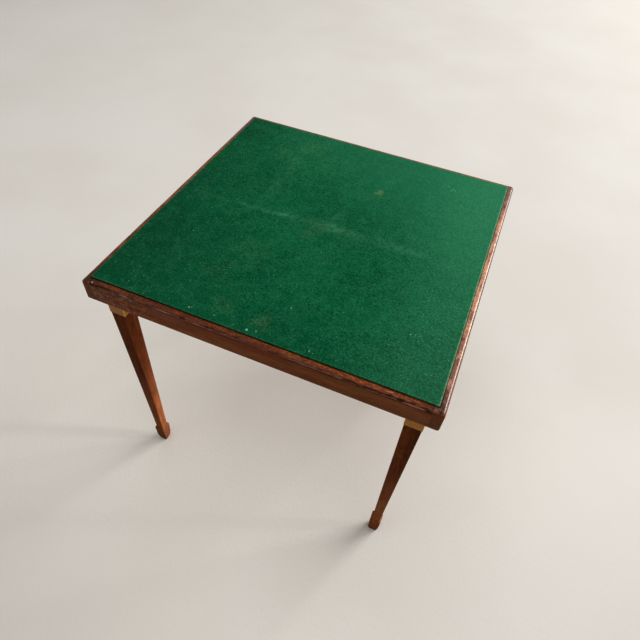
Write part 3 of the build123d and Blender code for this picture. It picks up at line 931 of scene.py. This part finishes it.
# %% Tarnished brass
def tarnished_brass(name, middle):
    """Metal whose colour and roughness follow two sizes of cloudy tarnish, with bright arrises that
    are partly rubbed and partly a painted highlight.
    """
    mix = Finish(name)
    cloud = mix.fade(mix.noise(38.0, detail=5.0, rough=0.6), 0.32, 0.68)
    speck = mix.fade(mix.noise(420.0, detail=3.0), 0.5, 0.68)
    arris = arris_nearness(mix, middle)[0]
    # The bright arrises are partly rubbed brass and partly a painted highlight.
    metal = mix.coats(
        mix.blend(cloud, paint(130, 84, 27), paint(154, 101, 35)),
        (mix.times(speck, 0.5), 96, 70, 38),
        (mix.times(mix.fade(arris, 0.93, 0.99), 0.7), 214, 178, 104),
    )
    scratches = mix.noise(700.0, mix.placed(stretch=(1, 1, 0.06)), detail=2.0)
    mix.shade(
        Base_Color=metal,
        Metallic=1.0,
        Roughness=mix.fade(mix.plus(cloud, speck), 0.0, 1.6, 0.34, 0.6),
        Normal=mix.relief(mix.plus(scratches, mix.times(cloud, 0.6)), 0.0001),
    )
    return mix.material


brass_finishes = {}
for corner in corners:
    low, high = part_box("leg_cap_" + corner)
    brass = tarnished_brass("brass_" + corner, (low + high) / 2)
    for piece in ("leg_cap_", "corner_bracket_", "cap_screws_"):
        brass_finishes[piece + corner] = brass
brass_finishes["bracket_screws"] = tarnished_brass("brass_bracket_screws", Vector((0, 0, 0)))
print("brass:", sorted(brass_finishes))

# %% Old steel
def old_steel(name, tone, rust_start):
    """Grey drawn steel, with brown rust where a coarse noise is high and faint rolling lines."""
    mix = Finish(name)
    cloud = mix.noise(60.0, detail=5.0, rough=0.6)
    metal = mix.blend(mix.fade(cloud, 0.3, 0.7), paint(*tone), paint(150, 147, 141))
    rust = mix.fade(mix.noise(140.0, detail=6.0, rough=0.65), rust_start, rust_start + 0.12)
    metal = mix.coats(metal, (rust, 104, 66, 42))
    lines = mix.noise(500.0, mix.placed(stretch=(1, 1, 0.08)), detail=2.0)
    height = mix.plus(mix.times(rust, 0.6), mix.times(lines, 0.3))
    mix.shade(
        Base_Color=metal,
        Metallic=mix.fade(rust, 0.0, 1.0, 1.0, 0.25),
        Roughness=mix.fade(rust, 0.0, 1.0, 0.36, 0.8),
        Normal=mix.relief(height, 0.00012),
    )
    return mix.material


pin_steel = old_steel("steel_pins", (136, 134, 130), 0.64)
screw_steel = old_steel("steel_screws", (118, 114, 106), 0.54)
print("steel:", pin_steel.name, screw_steel.name)

# %% [markdown]
# ## The baize
# Baize is a thick woollen cloth whose surface has been brushed up into a soft nap. Here one
# square of it, 765 mm each way before fitting, lies on the board, turns down over the edge and
# turns under, where the frame's ledge pinches it.
#
# The sheet is a grid. Each grid point has a place (a, b) on the flat cloth before it was
# fitted. While a and b are within the flat of the top, the point lies straight above its place.
# Past that, the distance along the cloth is carried round a quarter circle, down the edge, round
# a smaller quarter circle and inward. At a corner the two distances share one rounding, so
# the corner is a small upright quarter cylinder.

# %% Sizes of the cloth, taken from the construction
cloth_low, cloth_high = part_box("baize")
cloth_half = cloth_high.x
cloth_deep = cloth_high.z - cloth_low.z
edge_round = 0.0018
fold_round = 0.0012
turned_under = 0.0065
cloth_thick = 0.001
flat_half = cloth_half - edge_round

arc_over = edge_round * math.pi / 2
down_straight = cloth_deep - edge_round - fold_round
arc_under = fold_round * math.pi / 2
under_straight = turned_under - fold_round
past_edge = arc_over + down_straight + arc_under + under_straight
print("cut size in mm:", round(2000 * (flat_half + past_edge), 1), "square")


# %% Over the edge of the board
def over_the_edge(along):
    """How far out and how far down the cloth has gone at a distance past the flat of the top: along
    a quarter circle (sine out, one less the cosine down), then straight down, then a smaller
    quarter circle that turns inward, then straight in.
    """
    first = np.clip(along, 0, arc_over) / edge_round
    down = np.clip(along - arc_over, 0, down_straight)
    second = np.clip(along - arc_over - down_straight, 0, arc_under) / fold_round
    inward = np.clip(along - arc_over - down_straight - arc_under, 0, under_straight)
    out = edge_round * np.sin(first) - fold_round * (1 - np.cos(second)) - inward
    fall = edge_round * (1 - np.cos(first)) + down + fold_round * np.sin(second)
    return out, fall


test_out, test_fall = over_the_edge(np.array([0.0, arc_over, past_edge]))
print("out in mm:", np.round(1000 * test_out, 2), "down in mm:", np.round(1000 * test_fall, 2))

# %% Slight unevenness of the top
swell = 0.00012
crease_y, crease_wide, crease_half = -0.005, 0.006, 0.22


def cloth_swell(x, y):
    """How much the nap stands low, between 0 and 0.24 mm: slow waves in both directions, less a low
    ridge along the crease across the middle, as a bell curve across that line.
    """
    waves = np.sin(9.0 * x + 1.3) * np.sin(7.0 * y - 0.4) + 0.5 * np.sin(23.0 * x - 11.0 * y)
    ridge = np.exp(-(((y - crease_y) / crease_wide) ** 2)) * (np.abs(x) < crease_half)
    return swell * (1 + waves / 1.5) - swell * ridge


# How many grid points lie on each part of the cloth, and round each part of its edge.
flat_points, over_points, down_points, under_fold_points = 185, 6, 5, 4
flat_steps = np.linspace(-flat_half, flat_half, flat_points)
edge_steps = np.concatenate(
    [
        np.linspace(0, arc_over, over_points)[1:],
        arc_over + np.linspace(0, down_straight, down_points)[1:],
        arc_over + down_straight + np.linspace(0, arc_under, under_fold_points)[1:],
        [past_edge],
    ]
)
steps = np.concatenate([-flat_half - edge_steps[::-1], flat_steps, flat_half + edge_steps])
print("grid of", len(steps), "by", len(steps), "points")

# %% Lay the cloth
cut_a, cut_b = np.meshgrid(steps, steps, indexing="ij")
past_a = np.maximum(np.abs(cut_a) - flat_half, 0)
past_b = np.maximum(np.abs(cut_b) - flat_half, 0)
furthest = np.maximum(past_a, past_b)
nearest = np.minimum(past_a, past_b)
share = np.divide(nearest, furthest, out=np.zeros_like(nearest), where=furthest > 0)
turn = np.where(past_a >= past_b, share, 2 - share) * math.pi / 4
out, fall = over_the_edge(furthest)
x = np.sign(cut_a) * (np.minimum(np.abs(cut_a), flat_half) + out * np.cos(turn) * (furthest > 0))
y = np.sign(cut_b) * (np.minimum(np.abs(cut_b), flat_half) + out * np.sin(turn) * (furthest > 0))
z = cloth_high.z - fall - np.where(furthest > 0, 0, np.maximum(cloth_swell(x, y), 0))

rows = len(steps)
points = np.stack([x, y, z], axis=-1).reshape(-1, 3)
at = np.arange(rows * rows).reshape(rows, rows)
faces = np.stack([at[:-1, :-1], at[1:, :-1], at[1:, 1:], at[:-1, 1:]], axis=-1).reshape(-1, 4)
cloth_data = bpy.data.meshes.new("baize_cloth")
cloth_data.from_pydata(points, [], faces)
cloth_data.polygons.foreach_set("use_smooth", np.ones(len(faces), bool))
cloth_data.update()
baize_cloth = add_object("baize_cloth", cloth_data)

wall = baize_cloth.modifiers.new("wool", "SOLIDIFY")
wall.thickness = cloth_thick
wall.offset = -1.0
print("cloth faces:", len(faces), "highest point in m:", round(float(points[:, 2].max()), 5))

# %% [markdown]
# ### Its colour
# Up close the nap is a tangle of lighter and darker fibres, so the green is broken up at several
# sizes at once: fuzz of about a millimetre, clumps of several, and broad soft clouds where
# the nap lies differently. Over that come the marks of use that the photograph shows: a pale
# crease across the middle, a rubbed patch beside it, a few stains, and white lint, most of it
# near the front edge, with a few larger tangles.

# %% Marks on the cloth
def soft_line(mix, start, end, wide, wander=0.004):
    """A nearly straight mark from start to end: 1 on the line, easing to 0 at its width, and fading
    at its ends. Across is the distance to the line, moved a little by noise, and along is the place
    between the ends.
    """
    x, y = mix.axes()[:2]
    run = Vector(end) - Vector(start)
    ahead = run.normalized()
    from_x, from_y = mix.less(x, start[0]), mix.less(y, start[1])
    along = mix.plus(mix.times(from_x, ahead.x), mix.times(from_y, ahead.y))
    across = mix.less(mix.times(from_x, ahead.y), mix.times(from_y, ahead.x))
    drift = mix.fade(mix.noise(28.0, detail=3.0), 0.2, 0.8, -wander, wander)
    near = mix.fade(mix.unsigned(mix.plus(across, drift)), wide, wide * 0.1)
    started = mix.fade(along, 0.0, 0.1 * run.length)
    ended = mix.fade(along, run.length, 0.75 * run.length)
    return mix.times(near, mix.times(started, ended))


def lint(mix, per_metre, size, least, most, start, end):
    """Tiny pale specks: a dot round the point of each cell whose own random number is low enough.
    The share of such cells grows from least to most as y goes from start to end.
    """
    distance, colour = mix.cells(per_metre)
    kept = mix.fade(mix.axes()[1], start, end, least, most)
    chosen = mix.math("LESS_THAN", mix.axes(colour)[0], kept)
    return mix.times(mix.fade(distance, size * per_metre, size * per_metre * 0.3), chosen)


print("marks: lines, spots and lint")

# %% Baize finish
wool = Finish("green_baize")
clouds = wool.noise(7.0, detail=5.0, rough=0.6)
clumps = wool.noise(270.0, detail=5.0, rough=0.7, bend=0.6)
fuzz = wool.noise(560.0, detail=5.0, rough=0.75, bend=1.2)
slanting = wool.placed(stretch=(1.0, 0.3, 1.0), turn=(0, 0, 0.6))
hairs = wool.noise(700.0, slanting, detail=2.0, bend=1.5)
drifts = wool.noise(42.0, detail=7.0, rough=0.68, bend=0.8)
tufts = wool.noise(130.0, detail=5.0, rough=0.72, bend=0.8)

cloth_x, cloth_y, cloth_z = wool.axes()
to_back = wool.fade(cloth_y, -0.2, 0.35, 0.3, 0.85)
# broad slants across the top: the green is painted lighter towards the right and back and darker
# towards the left and front, as painted light.
broad = wool.axes(wool.placed(turn=(0, 0, -0.95)))[0]
green = wool.coats(
    wool.blend(wool.fade(clouds, 0.34, 0.66), paint(3, 74, 41), paint(8, 91, 53)),
    (wool.fade(drifts, 0.5, 0.66, 0.0, 0.36), 34, 116, 78),
    (wool.fade(drifts, 0.48, 0.34, 0.0, 0.4), 1, 54, 28),
    (wool.times(wool.fade(tufts, 0.5, 0.66), to_back), 30, 118, 78),
    (wool.times(wool.fade(tufts, 0.5, 0.34), to_back), 2, 58, 31),
    (wool.fade(clumps, 0.44, 0.62, 0.0, 0.85), 20, 110, 68),
    (wool.fade(clumps, 0.5, 0.34, 0.0, 0.6), 1, 44, 23),
    (wool.fade(fuzz, 0.6, 0.38, 0.0, 0.45), 1, 40, 21),
    (wool.fade(broad, 0.0, 0.42, 0.0, 0.45), 44, 128, 88),
    (wool.fade(broad, -0.05, -0.42, 0.0, 0.3), 1, 50, 27),
)
# The right part of the cloth is multiplied lighter, and a little darker near the front edge:
# painted light.
brighter = wool.fade(cloth_y, -0.36, -0.16, 0.9, 1.25)
green = wool.blend(1.0, green, wool.fade(cloth_x, 0.12, 0.34, 1.0, brighter), how="MULTIPLY")
curls = wool.unsigned(wool.less(wool.noise(70.0, detail=3.0, rough=0.6, bend=2.4), 0.5))
curly = wool.fade(wool.noise(34.0, detail=3.0), 0.42, 0.56)
curls = wool.times(wool.fade(curls, 0.026, 0.004), curly)
lit = wool.fade(cloth_x, 0.08, 0.34)
creases = wool.times(soft_line(wool, (-0.222, -0.013), (-0.06, -0.004), 0.010), 0.20)
for start, end, wide, strength in (
    ((-0.366, -0.016), (-0.18, -0.012), 0.012, 0.04),
    ((-0.12, -0.006), (0.09, 0.000), 0.022, 0.12),
    ((-0.02, 0.002), (0.26, 0.004), 0.024, 0.14),
    ((0.16, 0.003), (0.366, -0.006), 0.016, 0.05),
    ((-0.170, -0.01), (-0.164, 0.31), 0.020, 0.07),
    ((0.012, 0.000), (0.018, 0.092), 0.016, 0.12),
    ((0.125, 0.000), (0.125, 0.14), 0.014, 0.05),
):
    line = soft_line(wool, start, end, wide)
    creases = wool.plus(creases, wool.times(line, strength))
broken = wool.fade(wool.noise(90.0, detail=6.0, rough=0.75), 0.38, 0.62, 0.1, 1.1)
creases = wool.times(creases, broken)
# The coats below paint the right side lighter and the left side darker, and lit gives the right
# side stronger light and dark fibres: painted light and shade.
green = wool.coats(
    green,
    (wool.fade(cloth_x, 0.14, 0.36, 0.0, 0.12), 84, 150, 116),
    (wool.fade(cloth_x, -0.16, -0.37, 0.0, 0.34), 0, 46, 24),
    (wool.fade(hairs, 0.56, 0.74, 0.0, 0.22), 50, 120, 84),
    (wool.times(curls, 0.32), 66, 146, 108),
    (wool.times(lit, wool.fade(fuzz, 0.54, 0.36, 0.0, 0.3)), 6, 66, 38),
    (wool.times(lit, wool.fade(clumps, 0.5, 0.64, 0.0, 0.2)), 76, 156, 118),
    (creases, 88, 164, 120),
)

stained = wool.fade(clumps, 0.42, 0.58)
for x, y, radius, share, *tone in (
    (-0.012, -0.014, 0.060, 0.34, 62, 92, 62),
    (0.062, -0.020, 0.055, 0.22, 58, 96, 62),
    (0.074, 0.186, 0.016, 0.55, 132, 154, 92),
    (0.078, 0.165, 0.026, 0.24, 84, 120, 62),
    (-0.166, 0.276, 0.110, 0.22, 78, 138, 82),
    (0.000, -0.329, 0.026, 0.30, 92, 98, 66),
    (-0.085, -0.322, 0.026, 0.15, 84, 104, 60),
    (-0.105, -0.150, 0.060, 0.20, 62, 112, 66),
    (-0.150, -0.240, 0.045, 0.16, 70, 100, 56),
):
    spot = wool.times(wool.spot_at((x, y, cloth_high.z), radius, 0.6), stained)
    green = wool.coats(green, (wool.times(spot, share), *tone))

for start, end, strength in (
    ((0.2362, 0.2884), (0.2482, 0.2802), 0.42),
    ((0.2345, 0.2740), (0.2402, 0.2805), 0.30),
    ((0.2230, 0.2943), (0.2295, 0.2912), 0.24),
    ((0.2715, 0.2285), (0.2785, 0.2230), 0.24),
):
    strand = wool.times(soft_line(wool, start, end, 0.0026, 0.003), strength)
    green = wool.coats(green, (strand, 124, 186, 148))

specks = wool.math(
    "MAXIMUM",
    lint(wool, 60.0, 0.0016, 0.004, 0.12, -0.15, -0.37),
    lint(wool, 110.0, 0.0012, 0.02, 0.18, 0.2, -0.37),
)
green = wool.coats(green, (wool.times(specks, 0.75), 132, 190, 160))

tangled = 0.0
for x, y, radius in (
    (-0.144, -0.353, 0.0016), (-0.139, -0.351, 0.0010), (-0.090, -0.350, 0.0012),
    (-0.016, -0.356, 0.0024), (0.002, -0.352, 0.0013), (0.037, -0.268, 0.0014),
    (-0.258, -0.148, 0.0012), (0.274, -0.230, 0.0014), (0.112, -0.352, 0.0012),
    (0.2425, -0.273, 0.0008), (0.2845, -0.248, 0.0004), (0.326, -0.310, 0.0009),
    (0.2844, -0.332, 0.0005), (0.2943, -0.332, 0.0003), (0.357, -0.261, 0.0004),
    (-0.268, -0.1965, 0.0002), (-0.1606, -0.193, 0.0004), (-0.337, -0.281, 0.0004),
    (-0.078, -0.317, 0.0006), (-0.063, -0.307, 0.0004),
):
    gap = wool.node("ShaderNodeVectorMath", operation="DISTANCE")
    wool.put(gap.inputs[0], wool.spot)
    wool.put(gap.inputs[1], (x, y, cloth_high.z))
    ragged = wool.plus(gap.outputs["Value"], wool.times(fuzz, 0.006))
    tangled = wool.math("MAXIMUM", wool.fade(ragged, radius + 0.0036, radius + 0.0024), tangled)
green = wool.coats(green, (wool.times(tangled, 0.75), 142, 194, 174))
print("baize colour steps done")

# %% Edge of the cloth, sheen and nap
furthest_out = wool.math("MAXIMUM", wool.unsigned(cloth_x), wool.unsigned(cloth_y))
# A pale rim along the cloth's edge, faint except on the right: a painted highlight where the
# rounded edge catches the light.
rim_highlight = wool.fade(wool.less(cloth_half, furthest_out), 0.0042, 0.0008)
rim_highlight = wool.times(
    rim_highlight, wool.fade(cloth_x, 0.355, 0.364, 0.10, 0.9), wool.fade(tufts, 0.40, 0.58, 0.3, 1.0)
)
# The side of the cloth below the top is painted almost black: painted shade along the edge and in
# the gap against the rails.
painted_edge_shade = wool.fade(cloth_z, cloth_high.z - 0.0004, cloth_high.z - 0.0016)
green = wool.coats(green, (rim_highlight, 118, 164, 122), (wool.times(painted_edge_shade, 0.92), 8, 20, 13))
nap = wool.relief(wool.plus(fuzz, wool.times(hairs, 0.6)), 0.0009, strength=0.8)
nap = wool.relief(clumps, 0.0006, nap)
nap = wool.relief(creases, 0.0006, nap)
wool.shade(
    Base_Color=green,
    Roughness=0.95,
    Specular_IOR_Level=0.0,
    Normal=nap,
    Sheen_Weight=0.015,
    Sheen_Roughness=0.5,
)
cloth_data.materials.append(wool.material)
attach(baize_cloth, "table_top")
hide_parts("baize")
print("cloth rides on the table top")

# %% [markdown]
# ## Give each piece its finish
# The remaining pieces keep the construction's own shapes. Each gets its material in every slot
# of its mesh, so nothing is left plain.

# %% Finishes onto the construction
finish_of = {**leg_finishes, **brass_finishes}
finish_of.update(
    top_board=board_finish,
    cross_batten=batten_finish,
    glue_blocks=blocks_finish,
    batten_screws=screw_steel,
    pivot_washers=pin_steel,
)
for corner in corners:
    finish_of["pivot_pin_" + corner] = pin_steel

for name, material in finish_of.items():
    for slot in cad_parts[name].material_slots:
        slot.material = material
left_plain = sorted(set(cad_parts) - set(finish_of) - set(rails) - {"baize"})
print("finished", len(finish_of), "pieces; left plain:", left_plain)
